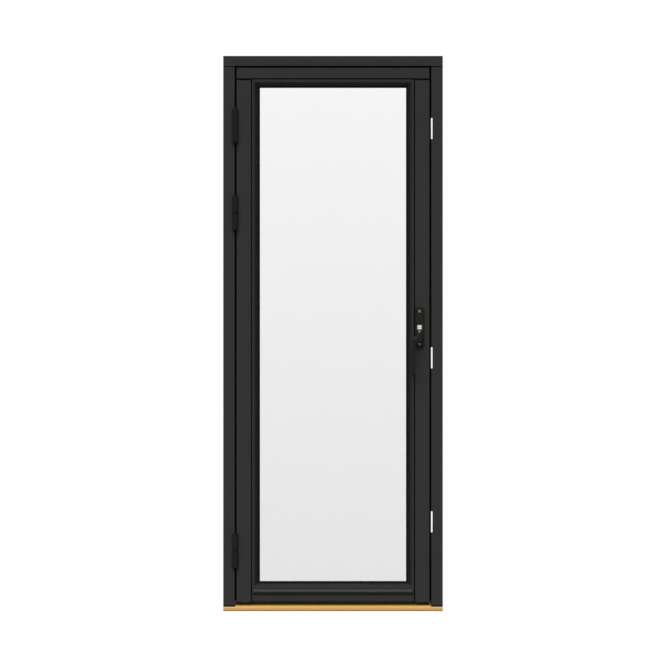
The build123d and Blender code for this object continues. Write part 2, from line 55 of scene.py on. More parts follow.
def add(tree, kind, inputs=(), **settings):
    """A shader node. The settings are its own fields, and its inputs are filled or linked."""
    made = tree.nodes.new("ShaderNode" + kind)
    for field, value in settings.items():
        setattr(made, field, value)
    return fill(tree, made, inputs)


def fill(tree, made, inputs):
    """Sets a node's inputs, by name or number. A socket is linked, anything else is a value."""
    for name, value in dict(inputs).items():
        if isinstance(value, bpy.types.NodeSocket):
            tree.links.new(value, made.inputs[name])
        else:
            made.inputs[name].default_value = value
    return made


def shade(red, green, blue):
    """A colour given as it looks on screen, from 0 to 255, in linear light."""
    return (*((value / 255 / 12.92 if value < 10.3 else ((value / 255 + 0.055) / 1.055) ** 2.4)
              for value in (red, green, blue)), 1.0)


def finish_material(name):
    """A new material, its node tree and its shader."""
    made = bpy.data.materials.new(name)
    made.use_nodes = True
    return made, made.node_tree, made.node_tree.nodes["Principled BSDF"]


def place_on(tree):
    """Places on the piece itself, in metres."""
    return add(tree, "TexCoord").outputs["Object"]


def stretched(tree, scales, shift=(0, 0, 0)):
    """The same places, stretched by a scale for each axis."""
    return add(tree, "Mapping", {"Vector": place_on(tree), "Scale": scales, "Location": shift}).outputs[0]


def axes(tree, vector):
    """The X, Y and Z of a vector."""
    return add(tree, "SeparateXYZ", {0: vector}).outputs


def noise(tree, vector, detail=3.0, roughness=0.55, scale=1.0):
    inputs = {"Vector": vector, "Scale": scale, "Detail": detail, "Roughness": roughness}
    return add(tree, "TexNoise", inputs).outputs[0]


def ranged(tree, value, low, high, to_low=0.0, to_high=1.0):
    """The value's run from low to high, spread over another range and held at its ends."""
    inputs = {"Value": value, "From Min": low, "From Max": high, "To Min": to_low, "To Max": to_high}
    return add(tree, "MapRange", inputs).outputs[0]


def blended(tree, factor, first, second):
    return add(tree, "Mix", {0: factor, 6: first, 7: second}, data_type="RGBA").outputs[2]


def bumped(tree, shader, height, depth):
    """Feeds the shader's normal from a height that goes from 0 to 1 over a depth in metres."""
    bump = add(tree, "Bump", {"Height": height, "Distance": depth, "Strength": 1.0})
    fill(tree, shader, {"Normal": bump.outputs[0]})


def dress(node, material):
    for slot in frame["nodes"][node].material_slots:
        slot.material = material


nose_top = 0.0114
nose_edge = 0.0012
foot_shade_bottom = 0.001
foot_shade_top = 0.0045
leaf_shadow_foot = 0.0178
leaf_shadow_fade = 0.003
heart_shift = (0, 0.13, 0.21)
pale_rings = shade(229, 186, 100)
dark_rings = shade(213, 170, 88)
figure_brown = shade(203, 160, 80)
fleck_yellow = shade(240, 202, 124)
pore_brown = shade(120, 84, 38)
# Colours of painted shade on the nose and its foot, and of the leaf's painted shadow on the slope.
nose_shade_brown = shade(150, 114, 54)
foot_shade_brown = shade(98, 72, 34)
leaf_shadow_brown = shade(112, 84, 42)

oak, tree, shader = finish_material("oiled_oak")
rings = add(tree, "TexWave", {"Vector": stretched(tree, (0.05, 1, 1), heart_shift), "Scale": 62.0,
                              "Distortion": 5.0, "Detail": 3.0, "Detail Scale": 22.0,
                              "Detail Roughness": 0.6},
            wave_type="RINGS", rings_direction="X").outputs["Fac"]
figure = ranged(tree, noise(tree, stretched(tree, (3.5, 60, 60)), 5.0), 0.3, 0.75, 0.0, 0.55)
pores = ranged(tree, noise(tree, stretched(tree, (110, 2300, 2300)), 2.0), 0.56, 0.66)
flecks = ranged(tree, noise(tree, stretched(tree, (60, 300, 900)), 1.0), 0.62, 0.7, 0.0, 0.35)
height = axes(tree, place_on(tree))["Z"]
# Painted shade: the nose's front and its foot are darker, and the slope under the leaf carries a painted
# shadow.
nose_painted_shade = ranged(tree, height, nose_top, nose_top - nose_edge, 0.0, 0.5)
foot_painted_shade = ranged(tree, height, foot_shade_top, foot_shade_bottom, 0.0, 0.85)
leaf_painted_shadow = ranged(tree, height, leaf_shadow_foot, leaf_shadow_foot + leaf_shadow_fade, 0.0, 0.75)
wood = blended(tree, rings, pale_rings, dark_rings)
for mask, colour in ((figure, figure_brown), (flecks, fleck_yellow),
                     (ranged(tree, pores, 0, 1, 0, 0.5), pore_brown), (nose_painted_shade, nose_shade_brown),
                     (foot_painted_shade, foot_shade_brown), (leaf_painted_shadow, leaf_shadow_brown)):
    wood = blended(tree, mask, wood, colour)
fill(tree, shader, {"Base Color": wood, "Roughness": ranged(tree, pores, 0, 1, 0.46, 0.7),
                    "Specular IOR Level": 0.4})
bumped(tree, shader, ranged(tree, pores, 0, 1, 1, 0), depth=0.00015)
dress("threshold", oak)


# Weather rail: an extruded aluminium strip on the outer fall of the threshold, folded down over its edge
# as a drip. It has a mill finish, with the faint lines that the die leaves along it.

def maths(tree, operation, *values):
    return add(tree, "Math", dict(enumerate(values)), operation=operation).outputs[0]


def vector_maths(tree, operation, *values):
    return add(tree, "VectorMath", dict(enumerate(values)), operation=operation).outputs[0]


def brightened(tree, colour, value):
    return add(tree, "HueSaturation", {"Color": colour, "Value": value}).outputs[0]


def effect(name, inputs, outputs):
    """A node group, what it is given, and its result. An input is (name, kind, value)."""
    group = bpy.data.node_groups.new(name, "ShaderNodeTree")
    for socket, kind, value in inputs:
        made = group.interface.new_socket(socket, in_out="INPUT", socket_type="NodeSocket" + kind)
        made.default_value = value
    for socket, kind in outputs:
        group.interface.new_socket(socket, in_out="OUTPUT", socket_type="NodeSocket" + kind)
    return group, group.nodes.new("NodeGroupInput").outputs, group.nodes.new("NodeGroupOutput")


def use(tree, group, **inputs):
    """A node group placed in a material, with that material's values."""
    return add(tree, "Group", inputs, node_tree=group).outputs


drawn_metal, given, result = effect(
    "drawn_metal",
    [("Place", "Vector", (0, 0, 0)), ("Metal", "Color", (0.8, 0.8, 0.8, 1)),
     ("Lines", "Vector", (6, 2600, 2600)), ("Gloss", "Float", 0.3)],
    [("Colour", "Color"), ("Roughness", "Float"), ("Height", "Float")],
)
lines = noise(drawn_metal, vector_maths(drawn_metal, "MULTIPLY", given["Place"], given["Lines"]), 4.0, 0.6)
clouds = noise(drawn_metal, given["Place"], 3.0, 0.5, scale=22.0)
streaked = ranged(drawn_metal, lines, 0.25, 0.75, -0.07, 0.07)
rough = maths(drawn_metal, "ADD", given["Gloss"], streaked)
rough = maths(drawn_metal, "MULTIPLY_ADD", clouds, 0.14, rough)
dimmed = brightened(drawn_metal, given["Metal"], ranged(drawn_metal, lines, 0.2, 0.8, 0.92, 1.05))
fill(drawn_metal, result, {"Colour": dimmed, "Roughness": rough, "Height": lines})


def drawn(name, metal, lines, gloss, depth):
    """A bare metal, drawn, rolled or brushed along one direction."""
    made, tree, shader = finish_material(name)
    surface = use(tree, drawn_metal, Place=place_on(tree), Metal=metal, Lines=lines, Gloss=gloss)
    fill(tree, shader, {"Base Color": surface["Colour"], "Roughness": surface["Roughness"], "Metallic": 1.0})
    bumped(tree, shader, surface["Height"], depth)
    return made


mill_aluminium = drawn("mill_aluminium", shade(196, 198, 200), (5, 1900, 1900), gloss=0.3, depth=0.00002)
dress("threshold_weather_rail", mill_aluminium)


# Head and jambs: planed pine, rebated and painted in the works before they are joined. The satin paint
# keeps a trace of the grain and a fine spray texture. The floors of the shadow joints, where members meet,
# the rebate's inner corner and the rim of the gap are painted near black as painted shade.

sprayed_timber, given, result = effect(
    "sprayed_timber",
    [("Place", "Vector", (0, 0, 0)), ("Paint", "Color", (0.03, 0.03, 0.03, 1)),
     ("Grain", "Vector", (420, 420, 9)), ("Gloss", "Float", 0.5)],
    [("Colour", "Color"), ("Roughness", "Float"), ("Height", "Float")],
)
grain = vector_maths(sprayed_timber, "MULTIPLY", given["Place"], given["Grain"])
grain = noise(sprayed_timber, grain, 4.0, 0.6)
peel = noise(sprayed_timber, given["Place"], 2.0, 0.5, scale=850.0)
clouds = noise(sprayed_timber, given["Place"], 3.0, 0.5, scale=7.0)
height = maths(sprayed_timber, "MULTIPLY_ADD", peel, 0.35, grain)
rough = maths(sprayed_timber, "ADD", given["Gloss"], ranged(sprayed_timber, clouds, 0.3, 0.7, -0.05, 0.05))
toned = ranged(sprayed_timber, clouds, 0.3, 0.7, 0.92, 0.98)
toned = maths(sprayed_timber, "MULTIPLY_ADD", grain, 0.10, toned)
toned = brightened(sprayed_timber, given["Paint"], toned)
fill(sprayed_timber, result, {"Colour": toned, "Roughness": rough, "Height": height})

room_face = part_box("frame_head")[0].y
shallowest_joint = 0.0045
deepest_joint = 0.015
floor_fade = 0.0005
first_floor = room_face + shallowest_joint
last_floor = room_face + deepest_joint

# Painted shade: 1 on the floor of a shadow joint, which faces the room a little behind the room face.
joint_floor_shade, given, result = effect(
    "joint_floor_shade",
    [("Place", "Vector", (0, 0, 0)), ("Normal", "Vector", (0, -1, 0))],
    [("Mask", "Float")],
)
behind = axes(joint_floor_shade, given["Place"])["Y"]
below = ranged(joint_floor_shade, behind, first_floor, first_floor + floor_fade)
above = ranged(joint_floor_shade, behind, last_floor, last_floor + floor_fade, 1.0, 0.0)
facing = ranged(joint_floor_shade, axes(joint_floor_shade, given["Normal"])["Y"], -0.95, -0.85, 1.0, 0.0)
mask = maths(joint_floor_shade, "MULTIPLY", maths(joint_floor_shade, "MULTIPLY", below, above), facing)
fill(joint_floor_shade, result, {"Mask": mask})


def banded(tree, value, low, high):
    """1 between two values and 0 outside them."""
    edge = 0.0002
    rising = ranged(tree, value, low - edge, low + edge)
    falling = ranged(tree, value, high - edge, high + edge, 1.0, 0.0)
    return maths(tree, "MULTIPLY", rising, falling)


rebate_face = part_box("strike_plate_upper")[0].x
head_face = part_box("frame_hinge_jamb")[1].z
corner_depth = 0.046
corner_reach = 0.0062
corner_height = 0.003
rim_width = 0.0016
spare = 0.0005
corner_floor = room_face + corner_depth

# Painted shade: 1 in the inner corner of the rebate, behind the gap, and along the rim of the gap.
rebate_painted_shade, given, result = effect("rebate_painted_shade", [("Place", "Vector", (0, 0, 0))], [("Mask", "Float")])
place = axes(rebate_painted_shade, given["Place"])
side = maths(rebate_painted_shade, "ABSOLUTE", place["X"])
masks = []
for inside, outside, near, far in (
        (corner_reach, spare, corner_floor - corner_height, corner_floor + spare),
        (spare, rim_width, room_face - spare, room_face + deepest_joint)):
    mask = maths(rebate_painted_shade, "MAXIMUM",
                 banded(rebate_painted_shade, side, rebate_face - inside, rebate_face + outside),
                 banded(rebate_painted_shade, place["Z"], head_face - inside, head_face + outside))
    for limit in (banded(rebate_painted_shade, side, -spare, rebate_face + outside),
                  banded(rebate_painted_shade, place["Z"], 0, head_face + outside),
                  banded(rebate_painted_shade, place["Y"], near, far)):
        mask = maths(rebate_painted_shade, "MULTIPLY", mask, limit)
    masks.append(mask)
fill(rebate_painted_shade, result, {"Mask": maths(rebate_painted_shade, "MAXIMUM", *masks)})

anthracite = shade(44, 44, 44)
# Near black, painted as shade in joint floors, the rebate's corner and along rims.
painted_shade_black = shade(8, 8, 8)
satin = 0.5
upright_grain = (420, 420, 9)
level_grain = (9, 420, 420)


def painted(name, grain):
    """Satin paint sprayed on planed timber whose grain runs one way, with painted shade in its shadow joints.
    """
    made, tree, shader = finish_material(name)
    place = add(tree, "TexCoord").outputs
    surface = use(tree, sprayed_timber, Place=place["Object"], Paint=anthracite, Grain=grain, Gloss=satin)
    joint = use(tree, joint_floor_shade, Place=place["Object"], Normal=place["Normal"])
    fill(tree, shader, {"Base Color": blended(tree, joint["Mask"], surface["Colour"], painted_shade_black),
                        "Roughness": surface["Roughness"], "Specular IOR Level": 0.06})
    bumped(tree, shader, surface["Height"], depth=0.00005)
    return made


def covered(made, mask, colour):
    """A colour over the finish that is there, where the mask is 1."""
    shader = made.node_tree.nodes["Principled BSDF"]
    clean = shader.inputs["Base Color"].links[0].from_socket
    fill(made.node_tree, shader, {"Base Color": blended(made.node_tree, mask, clean, colour)})
    return made


def painted_shade_over(made, group):
    """Painted shade in near black over the paint, where the node group puts it."""
    tree = made.node_tree
    return covered(made, use(tree, group, Place=place_on(tree))["Mask"], painted_shade_black)


# The frame's paint carries painted shade in the rebate's corner and along the gap's rim.
frame_upright = painted_shade_over(painted("frame_paint_upright", upright_grain), rebate_painted_shade)
frame_level = painted_shade_over(painted("frame_paint_level", level_grain), rebate_painted_shade)
dress("frame_hinge_jamb", frame_upright)
dress("frame_lock_jamb", frame_upright)
dress("frame_head", frame_level)


# Frame seal: a hollow rubber bulb on a barbed stem, pressed into a groove all the way round the stops and
# mitred at the corners. The closed leaf squeezes it a little.

def meshed(name, made):
    """The mesh of a finished bmesh, which is freed."""
    mesh = bpy.data.meshes.new(name)
    made.to_mesh(mesh)
    made.free()
    return mesh


def mesh_object(name, mesh, body, material, smooth=math.radians(40)):
    """A new piece of the object, riding on a body."""
    if mesh.polygons:
        mesh.shade_smooth()
        mesh.set_sharp_from_angle(angle=smooth)
    mesh.materials.clear()
    mesh.materials.append(material)
    made = bpy.data.objects.new(name, mesh)
    bpy.context.scene.collection.objects.link(made)
    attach(made, body)
    return made


def mitred_ring(name, section, half_width, low, high):
    """A strip of that section, given as (outwards, Y), round a rectangle, mitred at its corners."""
    ring = bmesh.new()
    corners = ((-1, low, -1), (1, low, -1), (1, high, 1), (-1, high, 1))
    loops = [[ring.verts.new((side * (half_width + out), y, edge + turn * out)) for out, y in section]
             for side, edge, turn in corners]
    count = len(section)
    for here, there in zip(loops, loops[1:] + loops[:1]):
        for i in range(count):
            ring.faces.new((here[i], here[(i + 1) % count], there[(i + 1) % count], there[i]))
    bmesh.ops.recalc_face_normals(ring, faces=ring.faces)
    return meshed(name, ring)


def arc(centre, radii, start, end, steps):
    """Points on part of an ellipse, both ends included, with angles in degrees."""
    angles = [math.radians(start + (end - start) * i / steps) for i in range(steps + 1)]
    return [(centre[0] + radii[0] * math.cos(a), centre[1] + radii[1] * math.sin(a)) for a in angles]


rubber, tree, shader = finish_material("black_rubber")
skin = noise(tree, place_on(tree), 3.0, 0.6, scale=1400.0)
bloom = noise(tree, place_on(tree), 3.0, 0.6, scale=30.0)
bloomed = blended(tree, ranged(tree, bloom, 0.35, 0.7), shade(8, 8, 8), shade(14, 14, 14))
fill(tree, shader, {"Base Color": bloomed, "Roughness": ranged(tree, bloom, 0.3, 0.7, 0.55, 0.72),
                    "Specular IOR Level": 0.08})
bumped(tree, shader, skin, depth=0.00003)

seal_low, seal_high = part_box("frame_seal")
seal_half_width = 0.0035
stem_depth = 0.005
stem_half_width = 0.0015
barb = 0.0005
bulb_shoulder = 0.0008
stop_face = seal_high.y - stem_depth
bulb_depth = stop_face - seal_low.y
bulb = arc((0, stop_face - bulb_shoulder), (seal_half_width, bulb_depth - bulb_shoulder), 180, 360, 16)
stem = [(seal_half_width, stop_face), (stem_half_width, stop_face),
        (stem_half_width, stop_face + stem_depth * 0.4),
        (stem_half_width + barb, stop_face + stem_depth * 0.5),
        (stem_half_width, stop_face + stem_depth * 0.7), (stem_half_width * 0.4, seal_high.y)]
stem += [(-out, y) for out, y in reversed(stem)]
seal_mesh = mitred_ring("seal_bulb", bulb + stem, seal_high.x - seal_half_width,
                        seal_low.z + seal_half_width, seal_high.z - seal_half_width)
seal = mesh_object("seal_bulb", seal_mesh, "frame", rubber)
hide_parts("frame_seal")


# Strike plates: three zinc-plated steel angles let into the lock jamb, each with a slot for a bolt and
# two countersunk screws through the flange in the rebate.

def turned(name, profile, steps=24):
    """A lathe-turned mesh about Z, from (radius, height) points."""
    made = bmesh.new()
    rings = []
    for radius, height in profile:
        if radius == 0:
            rings.append([made.verts.new((0, 0, height))])
        else:
            rings.append([made.verts.new((radius * math.cos(2 * math.pi * i / steps),
                                          radius * math.sin(2 * math.pi * i / steps), height))
                          for i in range(steps)])
    for low, high in zip(rings, rings[1:]):
        for i in range(steps):
            j = (i + 1) % steps
            corners = [low[i % len(low)], low[j % len(low)], high[j % len(high)], high[i % len(high)]]
            made.faces.new([c for n, c in enumerate(corners) if c not in corners[:n]])
    bmesh.ops.recalc_face_normals(made, faces=made.faces)
    return meshed(name, made)


def cross_screw(name, radius, dome, shank_radius, length):
    """A countersunk screw about Z with a cross recess. Its head's rim is at Z = 0."""
    rim_height = 0.0002
    screw = bpy.data.objects.new(name, turned(name, [
        (0, dome), (radius * 0.45, dome * 0.86), (radius * 0.8, dome * 0.45), (radius * 0.97, dome * 0.06),
        (radius, -rim_height), (shank_radius, shank_radius - radius), (shank_radius, -length), (0, -length)]))
    arm = radius * 0.56
    width = radius * 0.15
    recess_depth = radius * 0.5
    taper = 0.5
    outline = [(width, width), (width, arm), (-width, arm), (-width, width), (-arm, width), (-arm, -width),
               (-width, -width), (-width, -arm), (width, -arm), (width, -width), (arm, -width), (arm, width)]
    cutter = bmesh.new()
    floor = [cutter.verts.new((x * taper, y * taper, -recess_depth)) for x, y in outline]
    rim = [cutter.verts.new((x, y, dome + rim_height)) for x, y in outline]
    cutter.faces.new(rim)
    cutter.faces.new(floor[::-1])
    for i in range(len(outline)):
        j = (i + 1) % len(outline)
        cutter.faces.new((floor[i], floor[j], rim[j], rim[i]))
    bmesh.ops.recalc_face_normals(cutter, faces=cutter.faces)
    recess = bpy.data.objects.new(name + "_recess", meshed(name + "_recess", cutter))
    for made in (screw, recess):
        bpy.context.scene.collection.objects.link(made)
    cut = screw.modifiers.new("recess", "BOOLEAN")
    cut.operation = "DIFFERENCE"
    cut.solver = "EXACT"
    cut.object = recess
    bpy.context.view_layer.update()
    mesh = bpy.data.meshes.new_from_object(screw.evaluated_get(bpy.context.evaluated_depsgraph_get()))
    for made in (screw, recess):
        bpy.data.objects.remove(made)
    return mesh


def placed(name, mesh, places):
    """Copies of a mesh about Z, joined. Each place is (point, direction of Z, turn in degrees)."""
    joined = bmesh.new()
    for point, direction, turn in places:
        before = set(joined.verts)
        joined.from_mesh(mesh)
        new = [v for v in joined.verts if v not in before]
        aim = Vector(direction).to_track_quat("Z", "Y").to_matrix().to_4x4()
        spin = Matrix.Rotation(math.radians(turn), 4, "Z")
        bmesh.ops.transform(joined, verts=new, matrix=Matrix.Translation(point) @ aim @ spin)
    return meshed(name, joined)


strike_steel = drawn("zinc_plated_strike", shade(222, 222, 220), (900, 900, 14), gloss=0.34, depth=0.00001)
zinc_screw = drawn("bright_zinc_screw", shade(205, 205, 200), (300, 300, 300), gloss=0.3, depth=0.00001)
small_screw = cross_screw("small_screw", radius=0.0034, dome=0.0003, shank_radius=0.0015, length=0.006)
strike_screw_back = 0.002
strike_screw_rise = 0.0295
places = []
for height in ("upper", "middle", "lower"):
    dress(f"strike_plate_{height}", strike_steel)
    low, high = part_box(f"strike_plate_{height}")
    for rise, turn in ((-strike_screw_rise, -23), (strike_screw_rise, 57)):
        point = (low.x, (low.y + high.y) / 2 + strike_screw_back, (low.z + high.z) / 2 + rise)
        places.append((point, (-1, 0, 0), turn))
screws = placed("strike_screws", small_screw, places)
mesh_object("strike_screws", screws, "frame", zinc_screw)


# Hinges: three lift-off hinges with round barrels, painted black. Each has a plate screwed into the jamb
# and one into the leaf's edge, a fixed pin, and a washer between its barrels.

coated_metal, given, result = effect(
    "coated_metal",
    [("Place", "Vector", (0, 0, 0)), ("Coat", "Color", (0.02, 0.02, 0.02, 1)), ("Gloss", "Float", 0.4)],
    [("Colour", "Color"), ("Roughness", "Float"), ("Height", "Float")],
)
texture = noise(coated_metal, given["Place"], 2.0, 0.5, scale=1100.0)
clouds = noise(coated_metal, given["Place"], 3.0, 0.5, scale=45.0)
rough = maths(coated_metal, "ADD", given["Gloss"], ranged(coated_metal, clouds, 0.3, 0.7, -0.05, 0.06))
toned = brightened(coated_metal, given["Coat"], ranged(coated_metal, clouds, 0.3, 0.7, 0.93, 1.07))
fill(coated_metal, result, {"Colour": toned, "Roughness": rough, "Height": texture})


def coated(name, coat, gloss):
    """Baked paint on metal, with a fine texture."""
    made, tree, shader = finish_material(name)
    surface = use(tree, coated_metal, Place=place_on(tree), Coat=coat, Gloss=gloss)
    fill(tree, shader, {"Base Color": surface["Colour"], "Roughness": surface["Roughness"],
                        "Specular IOR Level": 0.08})
    bumped(tree, shader, surface["Height"], depth=0.00002)
    return made


hinge_black = coated("hinge_black", shade(22, 22, 22), gloss=0.42)
washer_black, tree, shader = finish_material("washer_nylon")
grease = noise(tree, place_on(tree), 3.0, 0.6, scale=160.0)
fill(tree, shader, {"Base Color": blended(tree, grease, shade(6, 6, 6), shade(12, 12, 12)),
                    "Roughness": ranged(tree, grease, 0.3, 0.7, 0.45, 0.6), "Specular IOR Level": 0.05})
dress("hinge_washers", washer_black)

# Each screw: how far behind the plate's front edge, how far above its middle, and its recess's turn.
plate_screws = ((0.0085, 0.052, 25), (0.0235, 0.038, 78), (0.0085, -0.052, 131), (0.0235, -0.038, 184))
plate_depth = 0.032
leaf_plate_middle = 0.0625
hinge_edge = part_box("leaf_hinge_stile")[0].x
hinge_screw = cross_screw("hinge_screw", radius=0.0038, dome=0.0003, shank_radius=0.0016, length=0.006)
for side, face, outwards in (("frame", -rebate_face, (1, 0, 0)), ("leaf", hinge_edge, (-1, 0, 0))):
    places = []
    for height in ("upper", "middle", "lower"):
        dress(f"hinge_{side}_half_{height}", hinge_black)
        low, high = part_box(f"hinge_{side}_half_{height}")
        middle = (low.z + high.z) / 2 if side == "frame" else low.z + leaf_plate_middle
        front = high.y - plate_depth
        places += [((face, front + back, middle + rise), outwards, turn) for back, rise, turn in plate_screws]
    screws = placed(f"hinge_{side}_screws", hinge_screw, places)
    mesh_object(f"hinge_{side}_screws", screws, side, zinc_screw)


# Leaf timber: two stiles, a top rail over them and a bottom rail between them, planed, rebated and painted
# as the frame is. Both edges of the shadow joints between them and the leaf's rim are painted near black
# as painted shade. The drip moulding's sloping top is painted lighter as a painted highlight.

joint_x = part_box("bead_lock_side")[1].x
joint_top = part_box("leaf_lock_stile")[1].z
leaf_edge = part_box("leaf_lock_stile")[1].x
leaf_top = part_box("leaf_top_rail")[1].z
joint_width = 0.0033
# Width of the painted shade each side of a joint.
shade_spill = 0.0006
side_rim = 0.0009
top_rim = 0.0018
joint_outer = joint_x + joint_width + shade_spill

# Painted shade: 1 along both edges of the leaf's shadow joints and along its rim.
joint_edge_painted_shade, given, result = effect("joint_edge_painted_shade", [("Place", "Vector", (0, 0, 0))], [("Mask", "Float")])
place = axes(joint_edge_painted_shade, given["Place"])
side = maths(joint_edge_painted_shade, "ABSOLUTE", place["X"])
upright = maths(joint_edge_painted_shade, "MULTIPLY", banded(joint_edge_painted_shade, side, joint_x - shade_spill, joint_outer),
                banded(joint_edge_painted_shade, place["Z"], 0, joint_top + shade_spill))
level = maths(joint_edge_painted_shade, "MULTIPLY", banded(joint_edge_painted_shade, side, -joint_outer, joint_outer),
              banded(joint_edge_painted_shade, place["Z"], joint_top - joint_width - shade_spill, joint_top + shade_spill))
rim = maths(joint_edge_painted_shade, "MAXIMUM", banded(joint_edge_painted_shade, side, leaf_edge - side_rim, leaf_edge + spare),
            banded(joint_edge_painted_shade, place["Z"], leaf_top - top_rim, leaf_top + spare))
mask = maths(joint_edge_painted_shade, "MAXIMUM", maths(joint_edge_painted_shade, "MAXIMUM", upright, level), rim)
at_face = banded(joint_edge_painted_shade, place["Y"], room_face - spare, room_face + deepest_joint)
fill(joint_edge_painted_shade, result, {"Mask": maths(joint_edge_painted_shade, "MULTIPLY", mask, at_face)})

leaf_upright = painted_shade_over(painted("leaf_paint_upright", upright_grain), joint_edge_painted_shade)
leaf_level = painted_shade_over(painted("leaf_paint_level", level_grain), joint_edge_painted_shade)
for node in ("leaf_hinge_stile", "leaf_lock_stile"):
    dress(node, leaf_upright)
for node in ("leaf_top_rail", "leaf_bottom_rail", "weather_bar"):
    dress(node, leaf_level)

moulding_paint = painted("drip_moulding_paint", level_grain)
tree = moulding_paint.node_tree
facing_up = axes(tree, add(tree, "TexCoord").outputs["Normal"])["Z"]
patches = ranged(tree, noise(tree, place_on(tree), 3.0, 0.6, scale=60.0), 0.3, 0.7, 0.7, 1.0)
# Painted highlight: the up-facing slope is painted lighter, in patches.
top_painted_highlight = maths(tree, "MULTIPLY", ranged(tree, facing_up, 0.25, 0.6), patches)
dress("drip_moulding", covered(moulding_paint, top_painted_highlight, shade(54, 53, 50)))


# Glazing beads: four painted pine mouldings, mitred and pinned round the glass. Their slopes are painted
# darker towards the glass as painted shade, most on the upright ones and the bottom one.

# Painted shade on the beads' slopes, darker towards the glass, with a strength for each side.
bead_shade_dark = shade(12, 12, 12)
bead_shade_start = room_face + 0.0007
slope_start = room_face + 0.0012
slope_end = room_face + 0.016
beads = (("bead_hinge_side", upright_grain, 0.62), ("bead_lock_side", upright_grain, 0.62),
         ("bead_top", level_grain, 0.1), ("bead_bottom", level_grain, 0.42))
for node, grain, shade_strength in beads:
    bead_paint = painted_shade_over(painted(f"{node}_paint", grain), joint_edge_painted_shade)
    tree = bead_paint.node_tree
    behind = axes(tree, place_on(tree))["Y"]
    patches = ranged(tree, noise(tree, place_on(tree), 3.0, 0.6, scale=40.0), 0.3, 0.7, 0.85, 1.1)
    reach = ranged(tree, behind, slope_start, slope_end, shade_strength * 0.5, shade_strength)
    reach = maths(tree, "MULTIPLY", reach, patches)
    reach = maths(tree, "MULTIPLY", reach, ranged(tree, behind, bead_shade_start, slope_start))
    dress(node, covered(bead_paint, reach, bead_shade_dark))


# Glass: a sealed unit of three clear panes on two black spacers, held between rubber gaskets. The front
# pane carries the faint tint of its coating, and painted shade deepens it towards the foot.

def glass(name, top, foot, low, high):
    """Clear glass whose tint runs from the foot of the pane to its top; the change along it is painted shade.
    """
    made, tree, shader = finish_material(name)
    place = place_on(tree)
    rise = maths(tree, "MULTIPLY_ADD", noise(tree, place, 2.0, 0.5, scale=1.5), 0.06, axes(tree, place)["Z"])
    tint = blended(tree, ranged(tree, rise, low, high), foot, top)
    fill(tree, shader, {"Base Color": tint, "Roughness": 0.0, "IOR": 1.45, "Transmission Weight": 1.0})
    return made


pane_low, pane_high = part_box("glass_pane_front")
# The coating's tint at the top, and at the foot darkened by painted shade.
coated_top = (0.93, 0.93, 0.93, 1)
tint_foot_with_painted_shade = (0.80, 0.80, 0.80, 1)
clear = (0.99, 0.995, 0.992, 1)
dress("glass_pane_front", glass("coated_pane", coated_top, tint_foot_with_painted_shade, pane_low.z, pane_high.z))
for node in ("glass_pane_middle", "glass_pane_back"):
    dress(node, glass(f"clear_{node}", clear, clear, pane_low.z, pane_high.z))

spacer_black, tree, shader = finish_material("spacer_black")
pits = add(tree, "TexVoronoi", {"Vector": place_on(tree), "Scale": 480.0}).outputs["Distance"]
pits = ranged(tree, pits, 0.1, 0.3)
fill(tree, shader, {"Base Color": blended(tree, pits, shade(8, 8, 8), shade(24, 24, 24)),
                    "Roughness": 0.6, "Specular IOR Level": 0.1})
bumped(tree, shader, pits, depth=0.0001)
dress("glass_spacer_front", spacer_black)
dress("glass_spacer_back", spacer_black)


# Gaskets: black rubber strips pressed between the glass and the timber, mitred at the corners. Each has a
# flat foot under its bead, a groove beside the bead and a raised lip that runs along the daylight edge.

strip_past_bead = 0.0085
lip_width = 0.0036
groove_width = 0.0022
groove_depth = 0.0014
groove_slope = 0.0012
# The lip's rounded edge: places across it, as shares of its width, and how deep each lies.
lip_edge = ((-0.5, 0.0022), (-0.42, 0.0010), (-0.2, 0.0002), (0.1, 0.0), (0.5, 0.0003))
for end in ("front", "back"):
    low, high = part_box(f"glazing_gasket_{end}")
    strip_width = high.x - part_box("bead_lock_side")[0].x + strip_past_bead
    glass_side, open_side = (high.y, low.y) if end == "front" else (low.y, high.y)
    inwards = 1 if glass_side > open_side else -1
    groove_floor = open_side + inwards * groove_depth
    section = [(0, open_side), (lip_width + groove_width + groove_slope - strip_width, open_side),
               (lip_width + groove_width - strip_width, groove_floor),
               (lip_width - strip_width, groove_floor)]
    section += [(lip_width * 0.5 - strip_width + lip_width * share, open_side + inwards * deep)
                for share, deep in reversed(lip_edge)]
    section += [(-strip_width, glass_side), (0, glass_side)]
    ring = mitred_ring(f"gasket_strip_{end}", section, high.x, low.z, high.z)
    strip = mesh_object(f"gasket_strip_{end}", ring, "leaf", rubber)
    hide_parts(f"glazing_gasket_{end}")


# Lock: a long zinc-plated faceplate in the edge of the leaf, with three steel bolts through it and small
# countersunk screws along it.

lock_steel = drawn("zinc_plated_lock", shade(200, 201, 200), (1200, 1200, 10), gloss=0.33, depth=0.00001)
dress("lock_faceplate", lock_steel)
dress("lock_bolts", lock_steel)
dress("handle_spindle", lock_steel)
face_low, face_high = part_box("lock_faceplate")
faceplate_thickness = 0.0025
faceplate_tilt = math.radians(3.0)
faceplate_screw_heights = (0.135, 0.42, 0.70, 1.02, 1.30, 1.58, 1.835)
recess_turn = 35
outwards = (math.cos(faceplate_tilt), math.sin(faceplate_tilt), 0)
face_x = (face_low.x + face_high.x) / 2 + faceplate_thickness / 2
places = [((face_x, (face_low.y + face_high.y) / 2, height), outwards, recess_turn * n)
          for n, height in enumerate(faceplate_screw_heights)]
screws = placed("faceplate_screws", small_screw, places)
mesh_object("faceplate_screws", screws, "leaf", zinc_screw)


# Handle: a long backplate and a cranked lever, die-cast and painted black. The lever is one casting. Its neck
# is as broad as the round collar that it turns in, narrows through two bends, and ends in a flattened grip.

